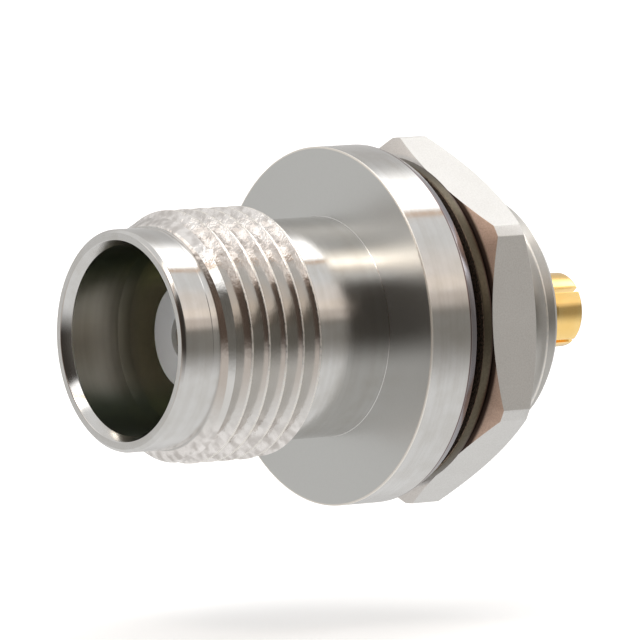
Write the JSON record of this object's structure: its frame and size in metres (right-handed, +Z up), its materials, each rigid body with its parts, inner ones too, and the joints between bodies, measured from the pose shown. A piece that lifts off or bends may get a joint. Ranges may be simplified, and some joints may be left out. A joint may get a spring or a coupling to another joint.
{
  "type": "tnc to mcx adapter",
  "caption": "Panel-mounted coaxial adapter: a threaded jack on a round flange at the front, a small slotted push-on plug at the rear, clamped by a washer and hex nut.",
  "frame": {"origin": "on the coaxial axis at the flange's rear face, where the panel meets it", "axes": "+Y along the coaxial axis from the jack to the plug, +Z up"},
  "size_m": [0.0158, 0.0242, 0.0162],
  "materials": {
    "body_steel": "bright turned stainless steel",
    "nut_steel": "fine matt stainless steel",
    "washer_bronze": "dull olive-brown plated bronze",
    "gold_plate": "gold plated",
    "bush_plate": "gold plated, turned",
    "white_dielectric": "smooth white fluoropolymer",
    "seal_rubber": "matt black"
  },
  "bodies": {
    "shell": {"connector_body": "body_steel", "front_insulator": "white_dielectric", "socket_contact": "gold_plate", "pin_contact": "gold_plate", "transition_bush": "bush_plate", "rear_insulator": "white_dielectric", "plug_outer_contact": "gold_plate", "panel_seal": "seal_rubber"},
    "washer": {"lock_washer": "washer_bronze"},
    "nut": {"hex_nut": "nut_steel"}
  },
  "joints": [
    {"name": "washer_slide", "type": "slide", "parent": "shell", "child": "washer", "axis": [0, 1, 0], "range_m": [0, 0.00272]},
    {"name": "nut_turn", "type": "hinge", "parent": "washer", "child": "nut", "pos_m": [0, 0.0025, 0], "axis": [0, 1, 0], "range_deg": [0, 1080]}
  ],
  "couplings": [
    {"joint": "washer_slide", "follows": "nut_turn", "m_per_rad": 0.00014438}
  ]
}
